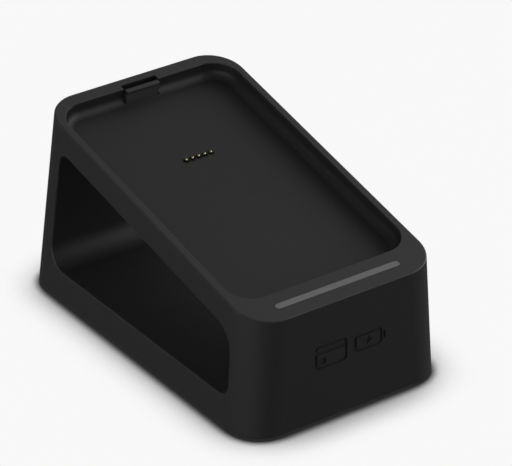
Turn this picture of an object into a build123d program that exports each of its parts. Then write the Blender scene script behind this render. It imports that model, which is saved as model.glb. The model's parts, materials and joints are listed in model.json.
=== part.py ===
from build123d import *
import os
from math import cos, radians, sin, tan

# A free-standing charging dock for a pocket card reader: a wedge-shaped housing with a sloping
# top, a shallow recess that the reader lies in, five spring contacts, a sprung latch at the back
# rim, a light bar in the front rim, and a tunnel from side to side under the slope.
#
# Millimetres. X is the width, Y the depth with the front towards -Y, Z is up. The origin is the
# centre of the footprint on the table. Parts under the slope are placed in the slope's own
# coordinates: x across, u up the slope from its front edge, d down from the rim's surface.

# ---- outer shape
base_width = 81.2
base_length = 138.0
base_corner = 12.35
foot_gap = 0.8
slope = 12.39
slope_front_y = -67.94
slope_front_z = 43.98
top_width = 76.0
top_length = 130.1
top_corner = 12.7
wall = 2.4
bottom_edge_radius = 0.7
rim_edge_radius = 0.5
recess_edge_radius = 0.3
opening_edge_radius = 0.6

# ---- recess for the reader
recess_width = 70.2
recess_start = 12.73
recess_length = 112.04
recess_corner = 9.5
recess_depth = 5.5
recess_fillet = 3.0
recess_floor = 1.3
recess_side = 1.6
beyond = 100.0  # longer than any cut that goes right through
past = 1.0  # how far a shorter cut runs out of the material
root = 0.5  # how far a post starts inside the wall that it stands on

# ---- card and battery pictograms engraved in the front
mark_z = 25.0
mark_depth = 0.5
mark_line = 1.0
mark_corner = 1.6
card_x = -7.6
card_width = 13.2
card_height = 8.8
card_chip_width = 2.8
card_chip_height = 2.2
battery_x = 7.6
battery_width = 11.6
battery_height = 6.4
battery_terminal = 0.9

# ---- tunnel under the slope, and the liner that forms it
tunnel_floor = 12.55
tunnel_front = -55.1
tunnel_back_at_table = 54.73
tunnel_back_lean = 0.138
ramp_thickness = 9.75
corner_front_bottom = 5.0
corner_front_top = 9.5
corner_back_top = 4.5
corner_back_bottom = 7.5
liner_wall = 1.6
liner_foot_x = 34.0
liner_foot_y = 35.0
liner_foot_width = 3.0
liner_foot_length = 8.0
liner_window_gap = 0.3
slip = 0.05

# ---- spring contacts
contact_count = 5
contact_pitch = 2.54
contact_u = 87.8
contact_hole = 2.1
contact_proud = 0.75
barrel_diameter = 1.8
barrel_bore = 1.36
barrel_mouth = 1.06
barrel_lip = 0.25
barrel_below_floor = 0.2
barrel_base = 0.25
tip_diameter = 1.0
shoulder_diameter = 1.3
shoulder_height = 0.45
contact_block_height = 1.1
contact_block_half_depth = 2.6
contact_board_left = -24.0
contact_board_right = 12.0
contact_board_front = 82.0
contact_board_back = 97.0
contact_board_thickness = 0.8
contact_cable_x = -18.5
contact_cable_width = 8.0
contact_cable_bend_y = 61.2
contact_cable_bend_u = 121.5
contact_connector_front = 92.5
contact_connector_back = 96.8
contact_connector_stop = 94.0
peg_places = (-10.5, 9.5)
peg_radius = 0.8
peg_hole_radius = 0.9
spring_wire = 0.1
spring_turns = 4

# ---- light bar in the front rim
light_u = 6.5
light_length = 50.0
light_width = 2.4
light_flange_length = 52.8
light_flange_width = 5.0
light_flange_height = 1.0
light_board_depth = 6.0
light_board_length = 62.4
light_board_thickness = 1.0
light_screw_x = 28.7
light_boss_radius = 2.0
light_pipe_length = 47.0
light_pipe_width = 2.0
light_pipe_gap = 0.2
light_pipe_bottom = 5.0
led_row_length = 42.0
led_count = 6
led_length = 2.0
led_width = 1.3
led_height = 0.68
light_cable_x = 9.0
light_cable_width = 6.0
light_cable_end_d = 8.2
light_cable_bend_d = 16.0
light_connector_depth = 3.2
light_connector_height = 2.4
light_connector_stop = 0.8

# ---- latch in the back rim
latch_width = 13.4
notch_width = 14.4
notch_start = 122.7
notch_end = 126.85
latch_front = 122.9
latch_back = 124.85
latch_top = 0.15
latch_lip = 0.85
latch_lip_radius = 0.4
latch_groove = 0.45
latch_groove_depth = 0.9
latch_plate_front = 123.35
latch_face_bottom = 6.6
latch_face_lean = 0.45
latch_tab_width = 3.0
latch_tab_reach = 0.38
latch_tab_top = 7.6
latch_tab_bottom = 9.6
pivot_u = 124.15
pivot_d = 14.5
pivot_pin_radius = 0.75
pivot_clearance = 0.05
knuckle_radius = 1.7
coil_gap = 5.2
coil_gap_top = 11.6
coil_radius = 1.35
coil_wire = 0.4
coil_turns = 5
spring_back_leg_top = 8.0
spring_front_leg_top = 10.9
bracket_front = 118.0
bracket_back = 126.3
bracket_top = 10.6
bracket_thickness = 1.5
bracket_ear = 1.6
bracket_ear_front = 122.3
bracket_ear_back = 126.0
bracket_boss_radius = 2.2
bracket_half_width = 13.6
bracket_screw_x = 11.3
bracket_screw_u = 120.4

# ---- screws: plain shanks in plain holes
small_pilot_radius = 1.02
small_clear_radius = 1.15
small_screw_depth = 0.6
small_head_radius = 1.9
small_head_height = 1.3
small_shank_radius = 1.0
small_socket_radius = 0.8
cover_pilot_radius = 1.27
cover_pilot_top = 11.5
cover_clear_radius = 1.4
cover_head_radius = 2.5
cover_head_seat = 2.6

# ---- base: cover, pad, ballast and main board
cover_top = 3.0
cover_gap = 0.15
pad_inset = 5.0
pad_corner = 8.0
pad_thickness = 1.15
pad_pocket = 0.4
pad_gap = 0.1
cover_screw_x = 30.5
cover_screw_y = 60.5
cover_boss_radius = 2.9
cover_boss_bottom = 4.25
cover_boss_top = 18.0
cover_rib = 1.8
cover_collar_radius = 3.2
cover_collar_top = 4.2
ballast_bottom = 4.8
ballast_thickness = 2.5
ballast_half_width = 30.0
ballast_front = -52.0
ballast_back = 14.0
ballast_corner = 4.0
ballast_screw_x = 24.0
ballast_screw_front = -44.0
ballast_screw_back = 6.0
base_post_radius = 2.5
board_bottom = 5.0
board_thickness = 1.2
board_half_width = 24.0
board_front = 19.0
board_back = 64.5
board_corner = 1.5
board_screw_x = 20.0
board_screw_front = 24.0
board_screw_back = 50.0
solder_gap = 0.02
converter_y = 40.0
chip_x = 4.0
chip_size = 5.0
chip_height = 0.9
inductor_x = -6.0
inductor_size = 6.6
inductor_height = 2.8
capacitor_columns = (-14.0, 11.5)
capacitor_rows = (35.0, 38.5, 42.0)
connector_extra = 1.0
connector_depth = 4.5
connector_height = 2.2
rear_connector_y = 56.75
rear_connector_stop = 56.0
front_connector_y = 24.5
front_connector_stop = 25.5
flex_thickness = 0.3
flex_bend = 1.5
flex_z = 7.55
flex_depth = 7.475

# ---- rear power socket
socket_z = 7.8
socket_front = 59.2
socket_mouth = 66.55
socket_width = 8.94
socket_height = 3.16
socket_wall = 0.3
plug_pocket_width = 13.0
plug_pocket_height = 7.2
socket_clearance = 0.25
tongue_width = 6.7
tongue_thickness = 0.7
tongue_mouth_gap = 0.9
tongue_block_width = 6.0
tongue_block_height = 2.4
tongue_block_length = 1.8

rise = sin(radians(slope))
run = cos(radians(slope))
ramp = Plane(
    origin=(0, slope_front_y, slope_front_z), x_dir=(1, 0, 0), z_dir=(0, -rise, run)
)
ramp_side = Plane(
    origin=(0, slope_front_y, slope_front_z), x_dir=(0, run, rise), z_dir=(1, 0, 0)
)
slope_up = Axis((0, 0, 0), (0, -rise, run))
floor_bottom = recess_depth + recess_floor
liner_bottom = tunnel_floor - liner_wall
contact_board_top = floor_bottom + contact_block_height
contact_board_bottom = contact_board_top + contact_board_thickness


# ---- helpers
def four_places(half_width, front, back):
    """The (x, y) of four fastenings: left and right, at the front and at the back."""
    return [(x, y) for x in (-half_width, half_width) for y in (front, back)]


cover_screws_at = four_places(cover_screw_x, -cover_screw_y, cover_screw_y)
ballast_screws_at = four_places(ballast_screw_x, ballast_screw_front, ballast_screw_back)
board_screws_at = four_places(board_screw_x, board_screw_front, board_screw_back)


def box_between(low, high):
    """A box from its lowest to its highest corner."""
    size = [b - a for a, b in zip(low, high)]
    middle = [(a + b) / 2 for a, b in zip(low, high)]
    return Pos(*middle) * Box(*size)


def post(x, y, radius, z_low, z_high):
    """An upright cylinder on the table's axes."""
    return Pos(x, y, (z_low + z_high) / 2) * Cylinder(radius, z_high - z_low)


def on_ramp(shape):
    """Place a shape that was made in the slope's coordinates, with z = -d."""
    return ramp.location * shape


def ramp_box(x_span, u_span, d_span):
    """A box in the slope's coordinates."""
    low = (x_span[0], u_span[0], -d_span[1])
    high = (x_span[1], u_span[1], -d_span[0])
    return on_ramp(box_between(low, high))


def ramp_post(x, u, radius, d_top, d_bottom):
    """A cylinder square to the slope."""
    return on_ramp(post(x, u, radius, -d_bottom, -d_top))


def ramp_slot(length, width, u, d_top, d_bottom):
    """A bar with round ends, lying across the slope."""
    outline = Pos(0, u, -d_bottom) * SlotOverall(length, width)
    return on_ramp(extrude(outline, d_bottom - d_top))


def ramp_axle(u, d, radius, x_low, x_high):
    """A cylinder along X at a place on the slope."""
    disc = Pos(u, -d, x_low) * Circle(radius)
    return ramp_side.location * extrude(disc, x_high - x_low)


def slope_point(u, d):
    """The Y and Z of a place in the slope's coordinates."""
    return (slope_front_y + u * run + d * rise, slope_front_z + u * rise - d * run)


def contact_places():
    """The x of each contact, from left to right."""
    first = -(contact_count - 1) / 2 * contact_pitch
    return [first + n * contact_pitch for n in range(contact_count)]


def self_tapping_screw(head_radius, head_height, shank_radius, shank_length, socket_radius):
    """A pan-head screw pointing up +Z from the underside of its head, with a hex socket."""
    head = Pos(0, 0, -head_height / 2) * Cylinder(head_radius, head_height)
    head = chamfer(head.edges().sort_by(Axis.Z)[0], head_height / 4)
    shank = Pos(0, 0, shank_length / 2) * Cylinder(shank_radius, shank_length)
    shank = chamfer(shank.edges().sort_by(Axis.Z)[-1], shank_radius / 3)
    socket_depth = head_height * 0.6
    socket = Pos(0, 0, -head_height) * extrude(RegularPolygon(socket_radius, 6), socket_depth)
    return head + shank - socket


def small_screw(length):
    """The small self-tapping screw that holds the boards, the ballast and the bracket."""
    return self_tapping_screw(
        small_head_radius, small_head_height, small_shank_radius, length, small_socket_radius
    )


def flex_cable(points, x_middle, width):
    """A flat cable along a line of (y, z) points."""
    line = FilletPolyline(*[(x_middle, y, z) for y, z in points], radius=flex_bend)
    start = Plane(origin=line @ 0, x_dir=(1, 0, 0), z_dir=line % 0)
    return sweep(start * Rectangle(width, flex_thickness), path=line)


def wire_coil(wire, mean_radius, length, turns):
    """A round-wire coil along +Z."""
    line = Helix(length / turns, length, mean_radius)
    start = Plane(origin=line @ 0, z_dir=line % 0)
    return sweep(start * Circle(wire / 2), path=line, is_frenet=True)


# ---- shared forms
def wedge(inset):
    """The outer body, or the same body with its sides moved inwards."""
    bottom = RectangleRounded(base_width - 2 * inset, base_length - 2 * inset, base_corner - inset)
    top = RectangleRounded(top_width - 2 * inset, top_length - 2 * inset, top_corner - inset)
    return loft([bottom, ramp.location * Pos(0, top_length / 2, 0) * top], ruled=True)


def above_ramp(depth):
    """Everything above a level under the rim."""
    return ramp_box((-beyond, beyond), (-beyond, 2 * beyond), (depth - beyond, depth))


def tunnel_profile(grow):
    """The tunnel's four-sided outline in the YZ plane, with its rounded corners."""
    lean_top = slope_front_z - slope_front_y * rise / run - ramp_thickness / run
    back_top_z = (lean_top + tunnel_back_at_table * tan(radians(slope))) / (
        1 + tunnel_back_lean * tan(radians(slope))
    )
    corners = [
        ((tunnel_front, tunnel_floor), corner_front_bottom),
        ((tunnel_back_at_table - tunnel_back_lean * tunnel_floor, tunnel_floor), corner_back_bottom),
        ((tunnel_back_at_table - tunnel_back_lean * back_top_z, back_top_z), corner_back_top),
        ((tunnel_front, lean_top + tunnel_front * tan(radians(slope))), corner_front_top),
    ]
    outline = make_face(Polyline(*[place for place, _ in corners], close=True))
    for place, radius in corners:
        outline = fillet(outline.vertices().sort_by_distance((*place, 0))[0], radius)
    if grow:
        outline = offset(outline, grow)
    return outline


def tunnel_bar(grow, half_width):
    """The tunnel as a solid bar along X."""
    return extrude(Plane.YZ * tunnel_profile(grow), half_width, both=True)


def recess_tub(grow, depth):
    """The recess as a solid, grown sideways, down to a depth."""
    outline = RectangleRounded(recess_width + 2 * grow, recess_length + 2 * grow, recess_corner + grow)
    outline = Pos(0, recess_start + recess_length / 2, -depth) * outline
    return on_ramp(extrude(outline, depth))


def opening_edges(body):
    """The edges of the tunnel's two openings, where it leaves the sides."""
    near = tunnel_bar(0.01, base_width)
    outside = [edge for edge in body.edges() if abs(edge.center().X) > top_width / 3]
    return [edge for edge in outside if near.is_inside(edge.center())]


def framed(width, height, corner):
    """An engraved line around a rounded rectangle."""
    inner = RectangleRounded(width - 2 * mark_line, height - 2 * mark_line, corner - mark_line)
    return RectangleRounded(width, height, corner) - inner


def card_pictogram():
    """A plain payment card: outline, stripe and chip."""
    stripe = Pos(0, card_height * 0.2) * Rectangle(card_width - mark_line, card_height * 0.17)
    chip = RectangleRounded(card_chip_width, card_chip_height, card_chip_height / 5)
    chip = Pos(-card_width * 0.26, -card_height * 0.18) * chip
    return framed(card_width, card_height, mark_corner) + stripe + chip


def battery_pictogram():
    """A plain battery: outline, terminal and bolt."""
    terminal = Rectangle(battery_terminal, battery_height * 0.42)
    terminal = Pos(battery_width / 2 + battery_terminal * 0.9, 0) * terminal
    upper_half = [(1.0, 2.0), (-1.8, -0.4), (-0.2, -0.4)]
    lower_half = [(-x, -y) for x, y in upper_half]
    bolt = make_face(Polyline(*upper_half, *lower_half, close=True))
    return framed(battery_width, battery_height, mark_corner) + terminal + bolt


def front_mark():
    """The pictograms as a shallow cut into the leaning front face."""
    lean = (slope_front_y + base_length / 2) / slope_front_z
    middle = (0, mark_z * lean - base_length / 2, mark_z)
    front = Plane(origin=middle, x_dir=(1, 0, 0), z_dir=(0, -1, lean))
    mark = Pos(card_x, 0) * card_pictogram() + Pos(battery_x, 0) * battery_pictogram()
    return extrude(front * mark, mark_depth, both=True)


# ---- housing and covers
def closed_body():
    """The outside of the housing, with its recess and tunnel, still solid inside."""
    body = wedge(0) - box_between((-beyond, -beyond, -beyond), (beyond, beyond, foot_gap))
    body = fillet(body.faces().sort_by(Axis.Z)[0].edges(), bottom_edge_radius)
    body = fillet(body.faces().sort_by(slope_up)[-1].edges(), rim_edge_radius)
    tub = recess_tub(0, recess_depth)
    body -= fillet(tub.faces().sort_by(slope_up)[0].edges(), recess_fillet)
    rim = body.faces().sort_by(slope_up)[-1]
    body = fillet(rim.inner_wires()[0].edges(), recess_edge_radius)
    body -= tunnel_bar(0, base_width)
    return fillet(opening_edges(body), opening_edge_radius)


def cover_boss(x, y):
    """A screw boss in a bottom corner, tied to the two walls by ribs."""
    side = base_width / 2 if x > 0 else -base_width / 2
    end = base_length / 2 if y > 0 else -base_length / 2
    half_rib = cover_rib / 2
    boss = post(x, y, cover_boss_radius, cover_boss_bottom, cover_boss_top)
    for x_span, y_span in (
        (sorted((x, side)), (y - half_rib, y + half_rib)),
        ((x - half_rib, x + half_rib), sorted((y, end))),
    ):
        low = (x_span[0], y_span[0], cover_boss_bottom)
        high = (x_span[1], y_span[1], cover_boss_top)
        boss += box_between(low, high)
    return boss & wedge(wall / 2)


def socket_openings():
    """The hole for the power socket and the pocket around it for the plug's end."""
    width = socket_width + 2 * socket_clearance
    height = socket_height + 2 * socket_clearance
    hole = Plane.XZ * (Pos(0, socket_z) * SlotOverall(width, height))
    pocket = Plane.XZ.offset(-(socket_mouth + slip))
    pocket *= Pos(0, socket_z) * SlotOverall(plug_pocket_width, plug_pocket_height)
    return extrude(hole, -beyond) + extrude(pocket, -beyond)


def outer_housing():
    """The one-piece outer shell, open underneath."""
    hollow = wedge(wall) - above_ramp(wall) - recess_tub(recess_side, floor_bottom)
    shell = closed_body() - hollow - front_mark()
    for x, y in cover_screws_at:
        shell += cover_boss(x, y)
        shell -= post(x, y, cover_pilot_radius, cover_top, cover_pilot_top)
    for x in contact_places():
        shell -= ramp_post(x, contact_u, contact_hole / 2, recess_depth - past, floor_bottom + past)
    for x in peg_places:
        shell += ramp_post(x, contact_u, peg_radius, floor_bottom - root, contact_board_bottom)
    shell -= ramp_slot(light_length + 2 * slip, light_width + 2 * slip, light_u, -past, wall + past)
    for x in (-light_screw_x, light_screw_x):
        shell += ramp_post(x, light_u, light_boss_radius, wall - root, light_board_depth)
        pilot_top = wall + small_screw_depth
        shell -= ramp_post(x, light_u, small_pilot_radius, pilot_top, light_board_depth + past)
    notch = (-notch_width / 2, notch_width / 2)
    shell -= ramp_box(notch, (notch_start, notch_end), (-past, floor_bottom + 3 * past))
    for x in (-bracket_screw_x, bracket_screw_x):
        shell += ramp_post(x, bracket_screw_u, bracket_boss_radius, floor_bottom - root, bracket_top)
        pilot_top = floor_bottom + small_screw_depth
        shell -= ramp_post(x, bracket_screw_u, small_pilot_radius, pilot_top, bracket_top + past)
    return shell - socket_openings()


def contact_board_window():
    """The hole in the liner's ceiling for the contact board and its pegs."""
    across = (contact_board_left - liner_window_gap, contact_board_right + liner_window_gap)
    along = (contact_board_front - liner_window_gap, contact_board_back + liner_window_gap)
    return ramp_box(across, along, (0, contact_board_bottom + slip))


def tunnel_liner():
    """The sleeve that lines the tunnel, with posts under its floor for the ballast and the board."""
    sleeve = tunnel_bar(liner_wall, base_width / 2) & wedge(wall + slip)
    sleeve -= contact_board_window()
    posts = [(place, ballast_bottom + ballast_thickness) for place in ballast_screws_at]
    posts += [(place, board_bottom + board_thickness) for place in board_screws_at]
    for (x, y), bottom in posts:
        sleeve += post(x, y, base_post_radius, bottom, tunnel_floor + past)
        sleeve -= post(x, y, small_pilot_radius, bottom - past, liner_bottom + small_screw_depth)
    for x, y in four_places(liner_foot_x, -liner_foot_y, liner_foot_y):
        low = (x - liner_foot_width / 2, y - liner_foot_length / 2, cover_top + slip)
        high = (x + liner_foot_width / 2, y + liner_foot_length / 2, liner_bottom + root)
        sleeve += box_between(low, high)
    return sleeve - tunnel_bar(0, base_width)


def pad_outline(grow):
    """The rubber pad's outline, grown for the pocket it sits in."""
    width = base_width - 2 * pad_inset + 2 * grow
    length = base_length - 2 * pad_inset + 2 * grow
    return RectangleRounded(width, length, pad_corner + grow)


def bottom_cover():
    """The plate that closes the base, with a shallow pocket for the rubber pad."""
    slab = box_between((-beyond, -beyond, foot_gap), (beyond, beyond, cover_top))
    cover = wedge(wall + cover_gap) & slab
    cover -= Pos(0, 0, foot_gap) * extrude(pad_outline(pad_gap), pad_pocket)
    for x, y in cover_screws_at:
        cover += post(x, y, cover_collar_radius, cover_head_seat, cover_collar_top)
        cover -= post(x, y, cover_clear_radius, 0, cover_collar_top + past)
        cover -= post(x, y, cover_head_radius, 0, cover_head_seat)
    return cover


def rubber_foot_pad():
    """The rubber sheet that the dock stands on."""
    pad = extrude(pad_outline(0), pad_thickness)
    return fillet(pad.faces().sort_by(Axis.Z)[0].edges(), pad_thickness / 4)


def cover_screws():
    """Four screws that hold the bottom cover."""
    screw = self_tapping_screw(
        head_radius=2.3, head_height=1.2, shank_radius=1.25, shank_length=8.0, socket_radius=0.9
    )
    return [Pos(x, y, cover_head_seat) * screw for x, y in cover_screws_at]


# ---- base
def ballast_plate():
    """A steel plate that keeps the dock on the counter when the reader is lifted out."""
    low = (-ballast_half_width, ballast_front, ballast_bottom)
    high = (ballast_half_width, ballast_back, ballast_bottom + ballast_thickness)
    plate = box_between(low, high)
    plate = fillet(plate.edges().filter_by(Axis.Z), ballast_corner)
    for x, y in ballast_screws_at:
        plate -= post(x, y, small_clear_radius, 0, beyond)
    return plate


def ballast_screws():
    """Four screws from the ballast plate up into the liner's posts."""
    screw = small_screw(5.5)
    return [Pos(x, y, ballast_bottom) * screw for x, y in ballast_screws_at]


def main_board():
    """The charging circuit board, at the back of the base."""
    low = (-board_half_width, board_front, board_bottom)
    high = (board_half_width, board_back, board_bottom + board_thickness)
    board = box_between(low, high)
    board = fillet(board.edges().filter_by(Axis.Z), board_corner)
    for x, y in board_screws_at:
        board -= post(x, y, small_clear_radius, 0, beyond)
    return board


def main_board_screws():
    """Four screws from the main board up into the liner's posts."""
    screw = small_screw(5.0)
    return [Pos(x, y, board_bottom) * screw for x, y in board_screws_at]


def on_board(x, y, width, depth, height):
    """A component body just clear of the main board's upper side."""
    bottom = board_bottom + board_thickness
    low = (x - width / 2, y - depth / 2, bottom + solder_gap)
    return box_between(low, (x + width / 2, y + depth / 2, bottom + height))


def charging_chip():
    """The charge controller, a square flat package."""
    body = on_board(chip_x, converter_y, chip_size, chip_size, chip_height)
    return chamfer(body.faces().sort_by(Axis.Z)[-1].edges(), chip_height / 8)


def power_inductor():
    """The converter's moulded inductor."""
    body = on_board(inductor_x, converter_y, inductor_size, inductor_size, inductor_height)
    return fillet(body.edges().filter_by(Axis.Z), inductor_size / 8)


def capacitors():
    """Six ceramic capacitors around the converter."""
    places = [(x, y) for x in capacitor_columns for y in capacitor_rows]
    return [on_board(x, y, width=3.2, depth=1.6, height=1.2) for x, y in places]


def cable_slot(middle, half_width):
    """The two spans of a flat cable's slot: across its width and across its thickness."""
    gap = flex_thickness / 2 + slip
    return half_width + 0.2, (middle - gap, middle + gap)


def board_connector(x, y, cable_width, slot_front, slot_back):
    """A flat-cable connector on the main board, open where the cable goes in."""
    body = on_board(x, y, cable_width + 2 * connector_extra, connector_depth, connector_height)
    reach, height = cable_slot(flex_z, cable_width / 2)
    return body - box_between((x - reach, slot_front, height[0]), (x + reach, slot_back, height[1]))


def main_board_connectors():
    """The two flat-cable connectors on the main board."""
    slot_back = rear_connector_y + connector_depth
    to_contacts = board_connector(
        contact_cable_x, rear_connector_y, contact_cable_width, rear_connector_stop, slot_back
    )
    slot_front = front_connector_y - connector_depth
    to_light = board_connector(
        light_cable_x, front_connector_y, light_cable_width, slot_front, front_connector_stop
    )
    return [to_contacts, to_light]


def socket_bar(inset, start, length):
    """The socket's round-ended outline as a bar along Y, made smaller by an inset."""
    outline = SlotOverall(socket_width - 2 * inset, socket_height - 2 * inset)
    return extrude(Plane.XZ.offset(-start) * (Pos(0, socket_z) * outline), -length)


def usb_socket_shell():
    """The folded steel shell of the power socket."""
    length = socket_mouth - socket_front
    return socket_bar(0, socket_front, length) - socket_bar(socket_wall, socket_front + socket_wall, length)


def usb_socket_tongue():
    """The plastic block inside the socket with its flat tongue."""
    back = socket_front + socket_wall + slip
    front = back + tongue_block_length
    low = (-tongue_block_width / 2, back, socket_z - tongue_block_height / 2)
    high = (tongue_block_width / 2, front, socket_z + tongue_block_height / 2)
    block = box_between(low, high)
    low = (-tongue_width / 2, back + tongue_block_length / 2, socket_z - tongue_thickness / 2)
    high = (tongue_width / 2, socket_mouth - tongue_mouth_gap, socket_z + tongue_thickness / 2)
    return block + box_between(low, high)


# ---- contact group
def contact_block():
    """The moulded insulator that holds the five barrels."""
    half = contact_count * contact_pitch / 2 + 1.0
    along = (contact_u - contact_block_half_depth, contact_u + contact_block_half_depth)
    block = ramp_box((-half, half), along, (floor_bottom, contact_board_top))
    for x in contact_places():
        block -= ramp_post(x, contact_u, barrel_diameter / 2 + 0.01, 0, beyond)
    return block


def contact_barrels():
    """Five dark plated barrels, open at the top with a turned-in lip."""
    top = recess_depth + barrel_below_floor
    barrels = []
    for x in contact_places():
        barrel = ramp_post(x, contact_u, barrel_diameter / 2, top, contact_board_top)
        bore_bottom = contact_board_top - barrel_base
        barrel -= ramp_post(x, contact_u, barrel_bore / 2, top + barrel_lip, bore_bottom)
        barrel -= ramp_post(x, contact_u, barrel_mouth / 2, top - past, top + barrel_lip)
        barrels.append(barrel)
    return barrels


def shoulder_top():
    """The depth of a plunger's shoulder when it is out."""
    return recess_depth + barrel_below_floor + barrel_lip + 0.02


def contact_plunger(x):
    """One gold-plated plunger with a rounded tip and a shoulder inside its barrel."""
    tip_top = recess_depth - contact_proud
    tip = ramp_post(0, 0, tip_diameter / 2, tip_top, shoulder_top() + 0.1)
    tip = fillet(tip.edges().sort_by(slope_up)[-1], tip_diameter * 0.4)
    shoulder = ramp_post(0, 0, shoulder_diameter / 2, shoulder_top(), shoulder_top() + shoulder_height)
    place = ramp.location * Pos(x, contact_u, 0) * ramp.location.inverse()
    return place * (tip + shoulder)


def contact_spring(x):
    """One coil spring between a plunger's shoulder and the barrel's closed end."""
    end_gap = spring_wire / 2 + 0.01
    top = shoulder_top() + shoulder_height + end_gap
    bottom = contact_board_top - barrel_base - end_gap
    mean_radius = barrel_bore / 2 - 0.18
    coil = wire_coil(spring_wire, mean_radius, bottom - top, spring_turns)
    return on_ramp(Pos(x, contact_u, -bottom) * coil)


def contact_board():
    """The small board that carries the contacts, held by two heat-staked pegs."""
    across = (contact_board_left, contact_board_right)
    along = (contact_board_front, contact_board_back)
    board = ramp_box(across, along, (contact_board_top, contact_board_bottom))
    for x in peg_places:
        board -= ramp_post(x, contact_u, peg_hole_radius, 0, beyond)
    return board


def contact_board_connector():
    """The low flat-cable connector on the contact board."""
    half_width = contact_cable_width / 2 + connector_extra
    across = (contact_cable_x - half_width, contact_cable_x + half_width)
    along = (contact_connector_front, contact_connector_back)
    body = ramp_box(across, along, (floor_bottom + 2 * slip, contact_board_top))
    reach, slot = cable_slot(flex_depth, contact_cable_width / 2)
    across = (contact_cable_x - reach, contact_cable_x + reach)
    return body - ramp_box(across, (contact_connector_stop, contact_connector_back + past), slot)


def contact_cable():
    """The flat cable from the main board, up behind the liner and down the slope to the contacts."""
    points = [
        (rear_connector_stop + root, flex_z),
        (contact_cable_bend_y, flex_z),
        slope_point(contact_cable_bend_u, flex_depth),
        slope_point(contact_connector_stop + root, flex_depth),
    ]
    return flex_cable(points, contact_cable_x, contact_cable_width)


# ---- light bar
def light_guide():
    """The frosted bar that shows the charging state, with a flange under the rim."""
    bar = ramp_slot(light_length, light_width, light_u, 0, wall + root)
    flange_bottom = wall + light_flange_height
    flange = ramp_slot(light_flange_length, light_flange_width, light_u, wall + slip, flange_bottom)
    pipe_top = flange_bottom - root
    pipe = ramp_slot(light_pipe_length, light_pipe_width, light_u, pipe_top, light_pipe_bottom)
    return bar + flange + pipe


def light_shield():
    """The frame that keeps the light inside the bar."""
    top = wall + light_flange_height + slip
    frame = ramp_slot(light_flange_length, light_flange_width, light_u, top, light_board_depth)
    length = light_pipe_length + 2 * light_pipe_gap
    width = light_pipe_width + 2 * light_pipe_gap
    return frame - ramp_slot(length, width, light_u, top - past, light_board_depth + past)


def light_board():
    """The narrow board under the light bar."""
    bottom = light_board_depth + light_board_thickness
    board = ramp_slot(light_board_length, light_flange_width, light_u, light_board_depth, bottom)
    for x in (-light_screw_x, light_screw_x):
        board -= ramp_post(x, light_u, small_clear_radius, 0, beyond)
    return board


def status_leds():
    """The row of light-emitting diodes."""
    pitch = led_row_length / (led_count - 1)
    leds = []
    for n in range(led_count):
        x = -led_row_length / 2 + n * pitch
        across = (x - led_length / 2, x + led_length / 2)
        along = (light_u - led_width / 2, light_u + led_width / 2)
        bottom = light_board_depth - solder_gap
        leds.append(ramp_box(across, along, (bottom - led_height, bottom)))
    return leds


def light_board_screws():
    """Two screws from the light board up into the rim's bosses."""
    screw = small_screw(3.6)
    bottom = light_board_depth + light_board_thickness
    return [on_ramp(Pos(x, light_u, -bottom) * screw) for x in (-light_screw_x, light_screw_x)]


def light_board_connector():
    """The flat-cable connector under the light board."""
    top = light_board_depth + light_board_thickness + solder_gap
    bottom = top + light_connector_height
    half_width = light_cable_width / 2 + connector_extra
    across = (light_cable_x - half_width, light_cable_x + half_width)
    along = (light_u - light_connector_depth / 2, light_u + light_connector_depth / 2)
    body = ramp_box(across, along, (top, bottom))
    reach, slot = cable_slot(light_u, light_cable_width / 2)
    across = (light_cable_x - reach, light_cable_x + reach)
    return body - ramp_box(across, slot, (top + light_connector_stop, bottom + past))


def light_cable():
    """The flat cable from the main board, over the ballast and up the front to the light bar."""
    light_end = slope_point(light_u, light_cable_end_d)
    bend = slope_point(light_u, light_cable_bend_d)
    points = [(front_connector_stop - root, flex_z), (bend[0], flex_z), bend, light_end]
    return flex_cable(points, light_cable_x, light_cable_width)


# ---- latch
def latch_profile():
    """The latch's side view, in slope coordinates: lip, groove, pressing face and plate."""
    hook = Pos((latch_front + latch_back) / 2, -(latch_top + latch_lip / 2)) * RectangleRounded(
        latch_back - latch_front, latch_lip, latch_lip_radius
    )
    face_top = latch_top + latch_lip + latch_groove
    corners = [
        (latch_front + latch_face_lean, -face_top),
        (latch_back, -face_top),
        (latch_back, -latch_face_bottom),
        (latch_front, -latch_face_bottom),
    ]
    face = make_face(Polyline(*corners, close=True))
    face = fillet(face.vertices(), latch_lip_radius)
    neck_front = latch_front + latch_groove_depth
    neck_top = latch_top + latch_lip / 2
    neck = Pos((neck_front + latch_back) / 2, -(neck_top + latch_face_bottom) / 2) * Rectangle(
        latch_back - neck_front, latch_face_bottom - neck_top
    )
    plate_top = face_top + latch_lip_radius
    plate = Pos((latch_plate_front + latch_back) / 2, -(plate_top + pivot_d) / 2) * Rectangle(
        latch_back - latch_plate_front, pivot_d - plate_top
    )
    return hook + face + neck + plate


def release_latch():
    """The sprung catch that hooks over the reader's top edge."""
    half = latch_width / 2
    body = ramp_side.location * extrude(Pos(0, 0, -half) * latch_profile(), latch_width)
    body += ramp_axle(pivot_u, pivot_d, knuckle_radius, -half, half)
    tab = (-latch_tab_width / 2, latch_tab_width / 2)
    along = (latch_back - root, latch_back + latch_tab_reach)
    body += ramp_box(tab, along, (latch_tab_top, latch_tab_bottom))
    gap = (-coil_gap / 2, coil_gap / 2)
    body -= ramp_box(gap, (bracket_front, bracket_front + beyond), (coil_gap_top, beyond))
    return body - ramp_axle(pivot_u, pivot_d, pivot_pin_radius + pivot_clearance, -beyond, beyond)


def latch_pivot_pin():
    """The steel pin that the latch turns on."""
    end = notch_width / 2 + bracket_ear
    return ramp_axle(pivot_u, pivot_d, pivot_pin_radius, -end, end)


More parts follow.
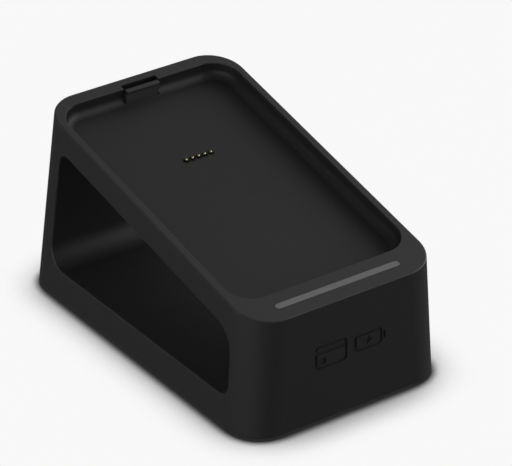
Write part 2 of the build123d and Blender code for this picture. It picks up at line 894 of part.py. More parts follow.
def latch_bracket():
    """The bracket under the back rim whose two ears hold the pivot pin."""
    bottom = bracket_top + bracket_thickness
    inside = notch_width / 2
    across = (-bracket_half_width, bracket_half_width)
    plate = ramp_box(across, (bracket_front, bracket_back), (bracket_top, bottom))
    clear_of_knuckle = pivot_u - knuckle_radius - 2 * slip
    plate -= ramp_box((-inside, inside), (clear_of_knuckle, clear_of_knuckle + beyond), (0, beyond))
    for side in (-1, 1):
        reach = sorted((side * inside, side * (inside + bracket_ear)))
        ear = (bracket_ear_front, bracket_ear_back)
        plate += ramp_box(reach, ear, (bracket_top, pivot_d + knuckle_radius))
        plate -= ramp_post(side * bracket_screw_x, bracket_screw_u, small_clear_radius, 0, beyond)
    return plate - ramp_axle(pivot_u, pivot_d, pivot_pin_radius + 0.01, -beyond, beyond)


def latch_bracket_screws():
    """Two screws that hold the latch bracket under the rim."""
    screw = small_screw(4.6)
    bottom = bracket_top + bracket_thickness
    return [
        on_ramp(Pos(x, bracket_screw_u, -bottom) * screw) for x in (-bracket_screw_x, bracket_screw_x)
    ]


def latch_spring():
    """The torsion spring around the pin: one leg behind the latch, one against the bracket."""
    length = coil_turns * coil_wire * 1.4
    coil = wire_coil(coil_wire, coil_radius, length, coil_turns)
    coil = ramp_side.location * Pos(pivot_u, -pivot_d, -length / 2) * coil
    back_leg_u = pivot_u + coil_radius
    back_leg = ramp_post(-length / 2, back_leg_u, coil_wire / 2, spring_back_leg_top, pivot_d)
    front_leg_u = pivot_u - coil_radius
    front_leg = ramp_post(length / 2, front_leg_u, coil_wire / 2, spring_front_leg_top, pivot_d)
    return coil + back_leg + front_leg


# ---- export
single_parts = [
    outer_housing,
    tunnel_liner,
    bottom_cover,
    rubber_foot_pad,
    cover_screws,
    ballast_plate,
    ballast_screws,
    main_board,
    main_board_screws,
    charging_chip,
    power_inductor,
    capacitors,
    main_board_connectors,
    usb_socket_shell,
    usb_socket_tongue,
    contact_block,
    contact_barrels,
    contact_board,
    contact_board_connector,
    contact_cable,
    light_guide,
    light_shield,
    light_board,
    status_leds,
    light_board_screws,
    light_board_connector,
    light_cable,
    release_latch,
    latch_pivot_pin,
    latch_bracket,
    latch_bracket_screws,
    latch_spring,
]


def write_part(name, made):
    """Write one node's STEP file; a list of solids becomes a group."""
    shape = Compound(children=[piece.solid() for piece in made]) if isinstance(made, list) else made
    export_step(shape, f"parts/{name}.step")


os.makedirs("parts", exist_ok=True)
for maker in single_parts:
    write_part(maker.__name__, maker())
for number, place in enumerate(contact_places(), start=1):
    write_part(f"contact_plunger_{number}", contact_plunger(place))
    write_part(f"contact_spring_{number}", contact_spring(place))
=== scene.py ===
import json
from collections import namedtuple
from math import cos, pi, radians, sin

import bmesh
import bpy
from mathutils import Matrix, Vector

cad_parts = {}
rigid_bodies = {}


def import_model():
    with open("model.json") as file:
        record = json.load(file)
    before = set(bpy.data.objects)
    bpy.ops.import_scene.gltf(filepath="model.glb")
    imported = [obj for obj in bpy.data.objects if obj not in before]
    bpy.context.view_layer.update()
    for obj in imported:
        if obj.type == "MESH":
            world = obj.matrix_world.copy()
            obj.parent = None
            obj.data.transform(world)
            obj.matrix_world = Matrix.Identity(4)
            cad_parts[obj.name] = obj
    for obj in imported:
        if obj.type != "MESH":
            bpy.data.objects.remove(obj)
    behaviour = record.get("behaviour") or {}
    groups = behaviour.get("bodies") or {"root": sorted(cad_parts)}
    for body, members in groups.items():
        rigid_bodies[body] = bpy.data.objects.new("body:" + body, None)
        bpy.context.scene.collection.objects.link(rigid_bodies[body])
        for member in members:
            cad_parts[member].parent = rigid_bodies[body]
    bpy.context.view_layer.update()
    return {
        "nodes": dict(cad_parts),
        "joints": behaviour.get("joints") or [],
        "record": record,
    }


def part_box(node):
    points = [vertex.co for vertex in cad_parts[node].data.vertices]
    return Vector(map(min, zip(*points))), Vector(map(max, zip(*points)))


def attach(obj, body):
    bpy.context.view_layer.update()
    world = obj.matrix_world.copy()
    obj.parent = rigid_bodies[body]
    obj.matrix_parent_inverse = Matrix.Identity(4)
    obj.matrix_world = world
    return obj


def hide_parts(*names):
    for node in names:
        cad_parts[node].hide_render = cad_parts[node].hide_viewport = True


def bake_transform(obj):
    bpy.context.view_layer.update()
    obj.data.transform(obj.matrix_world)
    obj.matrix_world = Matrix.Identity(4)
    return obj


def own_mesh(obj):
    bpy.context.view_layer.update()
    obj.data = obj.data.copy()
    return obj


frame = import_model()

mm = 0.001

# ---- places taken from the frame
mounts = {mount["name"]: mount for mount in frame["record"]["mounts"]}
joints = {joint["name"]: joint for joint in frame["joints"]}
recess_centre = Vector(mounts["reader_recess"]["pos_m"])
slope_normal = Vector(mounts["reader_recess"]["axis"]).normalized()
across = Vector((1, 0, 0))
up_slope = slope_normal.cross(across)
housing_points = [vertex.co for vertex in frame["nodes"]["outer_housing"].data.vertices]
recess_depth = max((point - recess_centre).dot(slope_normal) for point in housing_points)


# ---------------------------------------------------------------- node helpers
class Tree:
    """Short ways to add nodes to one node tree."""

    def __init__(self, tree):
        self.nodes = tree.nodes
        self.links = tree.links

    def feed(self, socket, value):
        """Sets an input from another node's output, a colour or a number."""
        if isinstance(value, bpy.types.NodeSocket):
            self.links.new(value, socket)
        elif isinstance(value, tuple) and len(value) == 3 and len(socket.default_value) == 4:
            socket.default_value = (*value, 1)
        else:
            socket.default_value = value

    def math(self, operation, *values):
        node = self.nodes.new("ShaderNodeMath")
        node.operation = operation
        for socket, value in zip(node.inputs, values):
            self.feed(socket, value)
        return node.outputs["Value"]

    def distance(self, off_one_way, off_other_way):
        """The straight distance to something, from how far off it lies along two directions."""
        squares = [self.math("MULTIPLY", off, off) for off in (off_one_way, off_other_way)]
        return self.math("SQRT", self.math("ADD", *squares))

    def ramp(self, value, low, high, low_out=0.0, high_out=1.0, smooth=False):
        """Maps low..high to low_out..high_out, and holds it outside that range."""
        node = self.nodes.new("ShaderNodeMapRange")
        node.clamp = True
        node.interpolation_type = "SMOOTHSTEP" if smooth else "LINEAR"
        limits = {"From Min": low, "From Max": high, "To Min": low_out, "To Max": high_out}
        for name, number in limits.items():
            node.inputs[name].default_value = number
        self.links.new(value, node.inputs["Value"])
        return node.outputs["Result"]

    def tone(self, noise, low=0.0, high=1.0):
        """Noise, which mostly lies between 0.3 and 0.7, mapped to low..high."""
        return self.ramp(noise, 0.3, 0.7, low, high)

    def vector_math(self, operation, first, second):
        node = self.nodes.new("ShaderNodeVectorMath")
        node.operation = operation
        self.feed(node.inputs[0], first)
        self.feed(node.inputs[1], second)
        return node.outputs["Value" if operation == "DOT_PRODUCT" else "Vector"]

    def facing(self):
        """The direction that the surface faces."""
        return self.nodes.new("ShaderNodeNewGeometry").outputs["Normal"]

    def mix_shaders(self, factor, first, second):
        """The first shader where the factor is zero, the second where it is one."""
        node = self.nodes.new("ShaderNodeMixShader")
        self.links.new(factor, node.inputs["Fac"])
        self.links.new(first, node.inputs[1])
        self.links.new(second, node.inputs[2])
        return node.outputs["Shader"]

    def camera_ray(self):
        """One where the camera looks straight at something, zero in reflections and bounces."""
        return self.nodes.new("ShaderNodeLightPath").outputs["Is Camera Ray"]


class Shading(Tree):
    """One node material and its principled shader."""

    def __init__(self, name):
        self.material = bpy.data.materials.new(name)
        self.material.use_nodes = True
        super().__init__(self.material.node_tree)
        self.shader = self.nodes["Principled BSDF"]
        self.place = self.nodes.new("ShaderNodeTexCoord").outputs["Object"]

    def set(self, **inputs):
        """Sets inputs of the principled shader; an underscore stands for a space."""
        for name, value in inputs.items():
            self.feed(self.shader.inputs[name.replace("_", " ")], value)

    def along(self, direction, origin=(0.0, 0.0, 0.0)):
        """How far a point lies from an origin, measured along a direction, in metres."""
        from_origin = self.vector_math("SUBTRACT", self.place, tuple(origin))
        return self.vector_math("DOT_PRODUCT", from_origin, tuple(direction))

    def stretched(self, factors):
        """The object's coordinates multiplied per axis, for noise drawn out in one direction."""
        return self.vector_math("MULTIPLY", self.place, factors)

    def noise(self, size, detail=2.0, rough=0.5, vector=None):
        """Cloudy noise whose blobs are about the given size."""
        node = self.nodes.new("ShaderNodeTexNoise")
        node.inputs["Scale"].default_value = 1 / size
        node.inputs["Detail"].default_value = detail
        node.inputs["Roughness"].default_value = rough
        self.links.new(vector or self.place, node.inputs["Vector"])
        return node.outputs["Fac"]

    def cells(self, size, vector=None):
        """The distance to the nearest of many scattered points."""
        node = self.nodes.new("ShaderNodeTexVoronoi")
        node.inputs["Scale"].default_value = 1 / size
        self.links.new(vector or self.place, node.inputs["Vector"])
        return node.outputs["Distance"]

    def mix(self, factor, first, second):
        """A blend from the first colour to the second."""
        first_colour, second_colour, colour_out = 6, 7, 2
        node = self.nodes.new("ShaderNodeMix")
        node.data_type = "RGBA"
        self.feed(node.inputs["Factor"], factor)
        self.feed(node.inputs[first_colour], first)
        self.feed(node.inputs[second_colour], second)
        return node.outputs[colour_out]

    def bump(self, height, depth, below=None):
        """A bump whose full height is the given depth in metres, on top of another one."""
        node = self.nodes.new("ShaderNodeBump")
        node.inputs["Distance"].default_value = depth
        node.inputs["Strength"].default_value = 1.0
        self.links.new(height, node.inputs["Height"])
        if below:
            self.links.new(below, node.inputs["Normal"])
        return node.outputs["Normal"]

    def edges(self, radius):
        """One on edges, zero on flat faces: it compares the surface with a rounded copy of itself."""
        same, turned = 0.995, 0.9
        bevel = self.nodes.new("ShaderNodeBevel")
        bevel.samples = 4
        bevel.inputs["Radius"].default_value = radius
        likeness = self.vector_math("DOT_PRODUCT", bevel.outputs["Normal"], self.facing())
        return self.ramp(likeness, same, turned)


def scaled(colour, amount):
    """A colour made lighter or darker."""
    return tuple(channel * amount for channel in colour)


# ---------------------------------------------------------------- plastics
CHARCOAL = (0.0108, 0.0108, 0.0111)
# A lighter charcoal, painted on the upward-facing rim as a sheen.
SHEEN_CHARCOAL = scaled(CHARCOAL, 2.5)
PLAIN_GLOSS = 0.5


def painted_top_sheen(s):
    """Where the colour is painted lighter as a sheen: one on the rim's flat top, less on the recess
    floor, zero on the sides and underneath.
    """
    below_rim, at_rim = recess_depth - 0.9 * mm, recess_depth - 0.1 * mm
    tilted, level_with_slope = 0.80, 0.98
    on_floor = 0.15
    level = s.ramp(s.along(slope_normal, recess_centre), below_rim, at_rim, on_floor, 1.0)
    upward = s.vector_math("DOT_PRODUCT", s.facing(), tuple(slope_normal))
    return s.math("MULTIPLY", level, s.ramp(upward, tilted, level_with_slope))


def contact_painted_shadow(s):
    """A painted shadow: one just in front of each contact, at any height, and zero elsewhere."""
    offset, solid_radius, faded_radius = 0.35 * mm, 1.10 * mm, 1.45 * mm
    row_end, past_row = 2.5, 2.55
    low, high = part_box("contact_plunger_3")
    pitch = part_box("contact_plunger_4")[0].x - low.x
    middle = (low + high) / 2 - up_slope * offset
    from_middle = s.along(across, middle)
    from_nearest = s.math("WRAP", from_middle, pitch / 2, -pitch / 2)
    distance = s.distance(from_nearest, s.along(up_slope, middle))
    in_row = s.ramp(s.math("ABSOLUTE", from_middle), past_row * pitch, row_end * pitch)
    return s.math("MULTIPLY", in_row, s.ramp(distance, faded_radius, solid_radius))


def dim_recess_highlights(s):
    """Paints shade into the recess by lowering the gloss of its walls, most where they face right, and
    in the painted shadow in front of each contact.
    """
    least_lost, most_lost, lost_in_contact_shadow = 0.08, 0.40, 0.38
    no_wall, wall = 2 * mm, 20 * mm
    under_floor, on_floor = -0.5 * mm, 0.1 * mm
    hardly_right, mostly_right = 0.10, 0.60
    to_centre = s.vector_math("SUBTRACT", tuple(recess_centre), s.place)
    inward = s.ramp(s.vector_math("DOT_PRODUCT", to_centre, s.facing()), no_wall, wall)
    above_floor = s.ramp(s.along(slope_normal, recess_centre), under_floor, on_floor)
    walls = s.math("MULTIPLY", inward, above_floor)
    rightward = s.vector_math("DOT_PRODUCT", s.facing(), tuple(across))
    dimmed = s.ramp(rightward, hardly_right, mostly_right, least_lost, most_lost)
    contact_shadow = s.math("MULTIPLY", contact_painted_shadow(s), lost_in_contact_shadow)
    lost = s.math("ADD", s.math("MULTIPLY", walls, dimmed), contact_shadow)
    s.set(Specular_IOR_Level=s.math("SUBTRACT", PLAIN_GLOSS, lost))


def latch_painted_light(s, plain, colour):
    """The latch's colour, with painted light on its face and painted shade, dark and dull, in the groove
    under its lip.
    """
    lip_bottom, groove_top = 0.95 * mm, 1.05 * mm
    groove_bottom, face_top = 1.75 * mm, 2.05 * mm
    top_tone_end, face_tone_start = 1.3 * mm, 1.6 * mm
    groove_gloss = 0.34
    depth = s.math("SUBTRACT", recess_depth, s.along(slope_normal, recess_centre))
    # Painted light: the latch's face is painted lighter.
    face = s.mix(s.ramp(depth, top_tone_end, face_tone_start), plain, scaled(colour, 1.8))
    # Painted shade: the groove under the lip is painted darker and duller.
    upper = s.ramp(depth, lip_bottom, groove_top)
    lower = s.ramp(depth, face_top, groove_bottom)
    groove = s.math("MULTIPLY", upper, lower)
    s.set(Specular_IOR_Level=s.ramp(groove, 0.0, 1.0, PLAIN_GLOSS, groove_gloss))
    return s.mix(groove, face, scaled(colour, 0.6))


def moulded_plastic(name, colour, roughness=0.54, grain=0.30 * mm, grain_depth=0.008 * mm):
    """Textured moulded plastic: spark-eroded grain, a trace of flow clouding, edges rubbed smoother and
    painted lighter, partly as wear and partly as a painted highlight, and a painted sheen on the rim's
    top.
    """
    uneven, rubbed_smoother = 0.012, 0.05
    s = Shading(name)
    clouds = s.noise(30 * mm, 3.0)
    edge_wear_and_highlight = s.edges(0.7 * mm)
    body = s.mix(s.tone(clouds), scaled(colour, 0.97), scaled(colour, 1.03))
    # The rim's top is painted lighter: a painted sheen.
    sheened_body = s.mix(painted_top_sheen(s), body, SHEEN_CHARCOAL)
    if name == "housing_plastic":
        dim_recess_highlights(s)
    if name == "latch_plastic":
        sheened_body = latch_painted_light(s, sheened_body, colour)
    # Edges are painted lighter, partly as wear and partly as a painted highlight.
    s.set(Base_Color=s.mix(s.math("MULTIPLY", edge_wear_and_highlight, 0.5), sheened_body, scaled(colour, 1.5)))
    touch = s.tone(s.noise(9 * mm, 4.0), roughness - uneven, roughness + uneven)
    s.set(Roughness=s.math("SUBTRACT", touch, s.math("MULTIPLY", edge_wear_and_highlight, rubbed_smoother)))
    fine = s.bump(s.noise(grain, 2.0, 0.6), grain_depth)
    s.set(Normal=s.bump(s.cells(grain * 1.7), grain_depth * 0.6, fine))
    return s.material


def smooth_plastic(name, colour, roughness=0.35):
    """Plain engineering plastic with faint flow lines."""
    s = Shading(name)
    flow = s.noise(4 * mm, 4.0, 0.6, s.stretched((1.0, 0.25, 1.0)))
    s.set(Base_Color=s.mix(s.tone(flow), scaled(colour, 0.92), scaled(colour, 1.08)))
    s.set(Roughness=s.tone(s.noise(1.5 * mm, 3.0), roughness - 0.05, roughness + 0.05))
    s.set(Normal=s.bump(s.noise(0.2 * mm), 0.004 * mm))
    return s.material


def light_guide_plastic():
    """Frosted grey diffuser: finely blasted, slightly deeper in tone at its two ends."""
    end_start, end_full, scatter = 0.44, 0.475, 1.2 * mm
    s = Shading("light_guide_plastic")
    low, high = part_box("light_guide")
    middle = (low + high) / 2
    length = high.x - low.x
    from_middle = s.math("ABSOLUTE", s.along(across, middle))
    end = s.ramp(from_middle, end_start * length, end_full * length)
    frosting = s.tone(s.noise(0.6 * mm, 4.0, 0.65))
    body = s.mix(frosting, (0.182, 0.183, 0.185), (0.196, 0.197, 0.199))
    s.set(Base_Color=s.mix(end, body, (0.166, 0.167, 0.169)))
    s.set(Roughness=s.ramp(frosting, 0.0, 1.0, 0.46, 0.54), Subsurface_Weight=0.15)
    s.set(Subsurface_Radius=(scatter, scatter, scatter), Subsurface_Scale=1.0)
    s.set(Normal=s.bump(s.noise(0.12 * mm, 2.0), 0.006 * mm))
    return s.material


def pad_rubber():
    """Soft black rubber: dull, dusty in the grooves, finely pitted."""
    s = Shading("pad_rubber")
    dust = s.ramp(s.along((0, 0, 1)), 0.0, 0.35 * mm)
    patches = s.ramp(s.noise(6 * mm, 4.0, 0.6), 0.35, 0.7)
    dusty = s.math("MULTIPLY", dust, patches)
    s.set(Base_Color=s.mix(dusty, (0.013, 0.013, 0.013), (0.032, 0.031, 0.030)))
    s.set(Roughness=s.ramp(patches, 0.0, 1.0, 0.68, 0.82))
    s.set(Normal=s.bump(s.noise(0.18 * mm, 3.0, 0.65), 0.02 * mm))
    return s.material


# ---------------------------------------------------------------- metals
def plated_steel(name, colour, roughness, brushing, brush_depth=0.004 * mm):
    """Plated steel: brushing drawn out along one axis, and a slightly uneven plating tone."""
    s = Shading(name)
    strokes = s.noise(0.25 * mm, 3.0, 0.6, s.stretched(brushing))
    tone = s.noise(5 * mm, 4.0, 0.6)
    s.set(Base_Color=s.mix(s.tone(tone), scaled(colour, 0.88), scaled(colour, 1.05)))
    s.set(Metallic=1.0, Roughness=s.tone(strokes, roughness - 0.07, roughness + 0.07))
    s.set(Normal=s.bump(strokes, brush_depth))
    return s.material


def gold_plating(name, light, deep, shaded_foot=False):
    """Gold with fine turning marks; a contact's has painted shade at its foot, where it goes into its
    barrel.
    """
    foot_shaded, foot_lit = 0.20 * mm, 0.45 * mm
    s = Shading(name)
    turned = s.noise(0.05 * mm, 2.0, 0.5, s.stretched((0.3, 0.3, 1.0)))
    patches = s.ramp(s.noise(0.5 * mm, 3.0), 0.4, 0.65)
    plating = s.mix(patches, light, deep)
    if shaded_foot:
        # Painted shade: the contact is darker towards its foot.
        height = s.along(slope_normal, recess_centre)
        lit_above_foot = s.ramp(height, foot_shaded, foot_lit, 0.10, 1.0)
        plating = s.mix(lit_above_foot, (0.02, 0.02, 0.015), plating)
    s.set(Base_Color=plating, Metallic=1.0, Roughness=s.tone(turned, 0.20, 0.30))
    s.set(Normal=s.bump(turned, 0.0015 * mm))
    return s.material


# ---------------------------------------------------------------- electronics
def circuit_board():
    """Green solder mask over square-routed tracks, with tinned pads and the weave just showing."""
    s = Shading("circuit_board")
    flat = s.stretched((1.0, 1.0, 0.0))
    track_spacing, pad_spacing = 6 * mm, 3.3 * mm
    tracks = s.nodes.new("ShaderNodeTexBrick")
    tracks.offset = 0.37
    tracks.inputs["Scale"].default_value = 1 / track_spacing
    tracks.inputs["Mortar Size"].default_value = 0.028
    tracks.inputs["Mortar Smooth"].default_value = 0.1
    s.links.new(flat, tracks.inputs["Vector"])
    track = tracks.outputs["Fac"]
    mask = s.mix(s.tone(s.noise(12 * mm)), (0.010, 0.075, 0.030), (0.014, 0.095, 0.038))
    over_track = s.mix(track, mask, (0.024, 0.150, 0.060))
    pad = s.ramp(s.cells(pad_spacing, flat), 0.13, 0.10)
    s.set(Base_Color=s.mix(pad, over_track, (0.62, 0.60, 0.56)))
    s.set(Metallic=pad, Roughness=s.ramp(pad, 0.0, 1.0, 0.34, 0.28))
    weave = s.bump(s.noise(0.5 * mm, 1.0, 0.4, s.stretched((1.0, 1.0, 0.2))), 0.003 * mm)
    s.set(Normal=s.bump(s.math("ADD", track, pad), 0.03 * mm, weave))
    return s.material


def chip_plastic():
    """A black moulded package with a sanded face and a round first-pin mark."""
    from_edge, mark_radius, mark_edge = 0.8 * mm, 0.30 * mm, 0.04 * mm
    s = Shading("chip_plastic")
    low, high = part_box("charging_chip")
    corner = Vector((low.x + from_edge, low.y + from_edge, high.z))
    distance = s.distance(s.along(across, corner), s.along((0, 1, 0), corner))
    mark = s.ramp(distance, mark_radius + mark_edge, mark_radius)
    s.set(Base_Color=s.mix(mark, (0.012, 0.012, 0.013), (0.035, 0.035, 0.036)))
    s.set(Roughness=s.ramp(mark, 0.0, 1.0, 0.62, 0.35))
    s.set(Normal=s.bump(s.noise(0.06 * mm, 3.0, 0.7), 0.006 * mm))
    return s.material


def inductor_ferrite():
    """Pressed metal powder: speckled grey, grainy and dull."""
    s = Shading("inductor_ferrite")
    grains = s.cells(0.18 * mm)
    s.set(Base_Color=s.mix(s.ramp(grains, 0.1, 0.6), (0.085, 0.085, 0.088), (0.040, 0.040, 0.043)))
    s.set(Roughness=s.tone(s.noise(1 * mm, 3.0), 0.55, 0.75))
    s.set(Normal=s.bump(grains, 0.02 * mm))
    return s.material


def capacitor_ceramic():
    """Tan fired ceramic with tinned left and right ends, for capacitors in two columns."""
    s = Shading("capacitor_ceramic")
    tin_start, tin_full = 0.31, 0.33
    low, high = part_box("capacitors")
    length, spread = 3.2 * mm, (high.x - low.x)
    from_middle = s.math("ABSOLUTE", s.along(across, (low + high) / 2))
    from_own_middle = s.math("ABSOLUTE", s.math("SUBTRACT", from_middle, (spread - length) / 2))
    tinned = s.ramp(from_own_middle, tin_start * length, tin_full * length)
    body = s.mix(s.tone(s.noise(0.3 * mm, 3.0)), (0.34, 0.22, 0.12), (0.42, 0.28, 0.16))
    s.set(Base_Color=s.mix(tinned, body, (0.66, 0.65, 0.62)), Metallic=tinned)
    s.set(Roughness=s.ramp(tinned, 0.0, 1.0, 0.42, 0.30))
    s.set(Normal=s.bump(s.noise(0.15 * mm, 3.0), 0.008 * mm))
    return s.material


def led_resin():
    """A white package with a soft yellow window in the middle of each diode."""
    s = Shading("led_resin")
    low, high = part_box("status_leds")
    middle = (low + high) / 2
    window = s.ramp(s.math("ABSOLUTE", s.along(up_slope, middle)), 0.52 * mm, 0.44 * mm)
    glow = s.mix(s.tone(s.noise(0.2 * mm, 2.0)), (0.72, 0.55, 0.12), (0.80, 0.64, 0.20))
    s.set(Base_Color=s.mix(window, (0.78, 0.77, 0.72), glow), Subsurface_Weight=0.2)
    s.set(Subsurface_Radius=(0.0004, 0.0004, 0.0003), Roughness=s.ramp(window, 0.0, 1.0, 0.40, 0.15))
    s.set(Normal=s.bump(window, 0.03 * mm))
    return s.material


def flex_film():
    """A flat cable: amber film over parallel copper tracks at half a millimetre."""
    s = Shading("flex_film")
    pitch = 0.5 * mm
    phase = s.math("MULTIPLY", s.along(across), 2 * pi / pitch)
    track = s.ramp(s.math("SINE", phase), -0.1, 0.3)
    s.set(Base_Color=s.mix(track, (0.30, 0.13, 0.030), (0.46, 0.22, 0.060)))
    s.set(Roughness=s.tone(s.noise(2 * mm, 3.0), 0.18, 0.30), Coat_Weight=0.3)
    s.set(Normal=s.bump(track, 0.02 * mm))
    return s.material


# ---------------------------------------------------------------- painting the CAD nodes
def slot_materials():
    """One finished material for each material slot in the record."""
    satin = {"roughness": 0.50, "grain": 0.22 * mm, "grain_depth": 0.006 * mm}
    return {
        "housing_plastic": moulded_plastic("housing_plastic", CHARCOAL),
        "liner_plastic": moulded_plastic("liner_plastic", CHARCOAL),
        "cover_plastic": moulded_plastic("cover_plastic", scaled(CHARCOAL, 0.95), 0.56, 0.4 * mm),
        "latch_plastic": moulded_plastic("latch_plastic", scaled(CHARCOAL, 1.6), **satin),
        "bracket_plastic": smooth_plastic("bracket_plastic", (0.018, 0.018, 0.018), 0.45),
        "insulator_plastic": smooth_plastic("insulator_plastic", (0.014, 0.014, 0.015), 0.40),
        "connector_plastic": smooth_plastic("connector_plastic", (0.050, 0.046, 0.040), 0.38),
        "shield_plastic": smooth_plastic("shield_plastic", (0.62, 0.61, 0.58), 0.42),
        "light_guide_plastic": light_guide_plastic(),
        "pad_rubber": pad_rubber(),
        "circuit_board": circuit_board(),
        "chip_plastic": chip_plastic(),
        "inductor_ferrite": inductor_ferrite(),
        "capacitor_ceramic": capacitor_ceramic(),
        "led_resin": led_resin(),
        "flex_film": flex_film(),
        "contact_gold": gold_plating("contact_gold", (0.56, 0.55, 0.32), (0.50, 0.49, 0.27), True),
        # Painted shade: the barrels are coloured near-black to stand in for the shade inside the contact
        # holes.
        "barrel_nickel": plated_steel("barrel_nickel", (0.024, 0.023, 0.020), 0.45, (1.0, 1.0, 0.2)),
        "socket_steel": plated_steel("socket_steel", (0.60, 0.60, 0.59), 0.30, (1.0, 0.15, 1.0)),
        "ballast_steel": plated_steel(
            "ballast_steel", (0.46, 0.46, 0.45), 0.42, (1.0, 0.10, 1.0), 0.01 * mm
        ),
        "screw_steel": plated_steel("screw_steel", (0.55, 0.55, 0.54), 0.33, (0.3, 0.3, 1.0)),
        "pin_steel": plated_steel("pin_steel", (0.62, 0.62, 0.62), 0.22, (0.1, 1.0, 1.0)),
        "spring_steel": plated_steel("spring_steel", (0.52, 0.52, 0.51), 0.30, (0.4, 0.4, 0.4)),
    }


def paint(piece, material):
    """Gives every slot of a piece the same material."""
    if not piece.material_slots:
        piece.data.materials.append(material)
    for slot in piece.material_slots:
        slot.material = material


def paint_nodes(finishes):
    """Gives every carried-over node the finish of its record slot."""
    for subpart in frame["record"]["subparts"]:
        paint(frame["nodes"][subpart["node"]], finishes[subpart["material_slot"]])


# ---------------------------------------------------------------- pieces made here
def new_piece(name, body, material):
    """An empty mesh piece that rides on a body; returns the object and a mesh to fill."""
    mesh = bpy.data.meshes.new(name)
    piece = bpy.data.objects.new(name, mesh)
    bpy.context.scene.collection.objects.link(piece)
    mesh.materials.append(material)
    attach(piece, body)
    return piece, bmesh.new()


def close_piece(piece, shape, smooth_below=radians(40)):
    """Writes the finished mesh and shades it smooth except across sharp edges."""
    bmesh.ops.recalc_face_normals(shape, faces=shape.faces)
    for face in shape.faces:
        face.smooth = True
    for edge in shape.edges:
        edge.smooth = len(edge.link_faces) == 2 and edge.calc_face_angle() < smooth_below
    shape.to_mesh(piece.data)
    shape.free()


def skin_rings(shape, rings):
    """A closed skin over a row of rings that all have the same number of points."""
    rows = [[shape.verts.new(point) for point in ring] for ring in rings]
    count = len(rows[0])
    for near, far in zip(rows, rows[1:]):
        for n in range(count):
            after = (n + 1) % count
            shape.faces.new((near[n], near[after], far[after], far[n]))
    shape.faces.new(rows[0])
    shape.faces.new(reversed(rows[-1]))


def ribbed_foot_pad(material):
    """The rubber pad with cross ribs on its underside, inside a plain border."""
    corner, edge, border = 8.0 * mm, 0.3 * mm, 3.2 * mm
    pitch, groove = 2.4 * mm, 0.35 * mm
    steps_per_rib, steps_per_corner, steps_per_edge = 8, 48, 4
    low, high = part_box("rubber_foot_pad")
    half_x, half_y, top = high

    def half_width(y):
        past = max(0.0, abs(y) - (half_y - corner))
        return half_x - corner + (corner ** 2 - past ** 2) ** 0.5

    def edge_lift(y):
        past = max(0.0, abs(y) - (half_y - edge))
        return edge - (edge ** 2 - past ** 2) ** 0.5

    def groove_height(y):
        fade = min(1.0, max(0.0, (half_y - border - abs(y)) / edge))
        wave = 0.5 - 0.5 * cos(2 * pi * y / pitch)
        steep_wave = wave * 2.2 - 0.6
        return groove * fade * min(1.0, max(0.0, steep_wave))

    def ring(y):
        width = half_width(y)
        inner = width - border
        height = groove_height(y)
        right = [(inner - edge, height), (inner, 0.0), (width - edge, 0.0)]
        turns = [n / steps_per_edge * pi / 2 for n in range(1, steps_per_edge + 1)]
        right += [(width - edge + edge * sin(turn), edge - edge * cos(turn)) for turn in turns]
        right.append((width, top))
        outline = right + [(-x, z) for x, z in reversed(right)]
        return [(x, y, low.z + min(top, max(z, edge_lift(y)))) for x, z in outline]

    def quarter_turn(radius, steps):
        return [half_y - radius + radius * sin(pi / 2 * n / steps) for n in range(steps + 1)]

    rib_rows = int((half_y - corner) / pitch * steps_per_rib)
    straight = [n * pitch / steps_per_rib for n in range(rib_rows + 1)]
    bend = quarter_turn(corner, steps_per_corner)
    last = quarter_turn(edge, steps_per_edge)[1:]
    upper = sorted({round(y, 7) for y in straight + bend + last if y <= half_y})
    places = [-y for y in reversed(upper[1:])] + upper
    piece, shape = new_piece("foot_pad_ribbed", "housing", material)
    skin_rings(shape, [ring(y) for y in places])
    close_piece(piece, shape, radians(50))
    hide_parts("rubber_foot_pad")


def add_block(shape, low, high, bevel):
    """A small block with bevelled edges."""
    made = bmesh.ops.create_cube(shape, size=1.0)
    size, middle = high - low, (low + high) / 2
    for vert in made["verts"]:
        vert.co = Vector((vert.co.x * size.x, vert.co.y * size.y, vert.co.z * size.z)) + middle
    edges = list({edge for vert in made["verts"] for edge in vert.link_edges})
    bmesh.ops.bevel(shape, geom=edges, offset=bevel, segments=2, affect="EDGES")


def socket_contacts(material):
    """Twelve gold contacts on each face of the socket's tongue."""
    count, pitch = 12, 0.5 * mm
    half_width, thickness, sink = 0.13 * mm, 0.05 * mm, 0.02 * mm
    tongue_half, from_mouth, reach = 0.35 * mm, 0.35 * mm, 3.2 * mm
    low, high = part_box("usb_socket_tongue")
    middle = (low.z + high.z) / 2
    outer, inner = high.y - from_mouth, high.y - reach
    piece, shape = new_piece("socket_contacts", "housing", material)
    for side in (-1, 1):
        near = middle + side * (tongue_half - sink)
        far = near + side * thickness
        for n in range(count):
            x = (n - (count - 1) / 2) * pitch
            corner_a = Vector((x - half_width, inner, min(near, far)))
            corner_b = Vector((x + half_width, outer, max(near, far)))
            add_block(shape, corner_a, corner_b, thickness / 5)
    close_piece(piece, shape)


def spring_piece(name, node):
    """A spring with its CAD node's shape and finish, which stands for it."""
    piece = bpy.data.objects.new(name, frame["nodes"][node].data.copy())
    bpy.context.scene.collection.objects.link(piece)
    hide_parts(node)
    return piece


def contact_springs():
    """Each contact's spring, copied from its CAD node, riding on the body that its travel joint hangs
    from.
    """
    contact_count = 5
    for number in range(1, contact_count + 1):
        joint = joints[f"contact_{number}_travel"]
        piece = spring_piece(f"contact_coil_{number}", f"contact_spring_{number}")
        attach(piece, joint["parent"])
        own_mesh(piece)


def latch_spring():
    """The latch's torsion spring, copied from its CAD node, with its placing baked into the mesh."""
    piece = spring_piece("latch_coil", "latch_spring")
    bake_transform(piece)


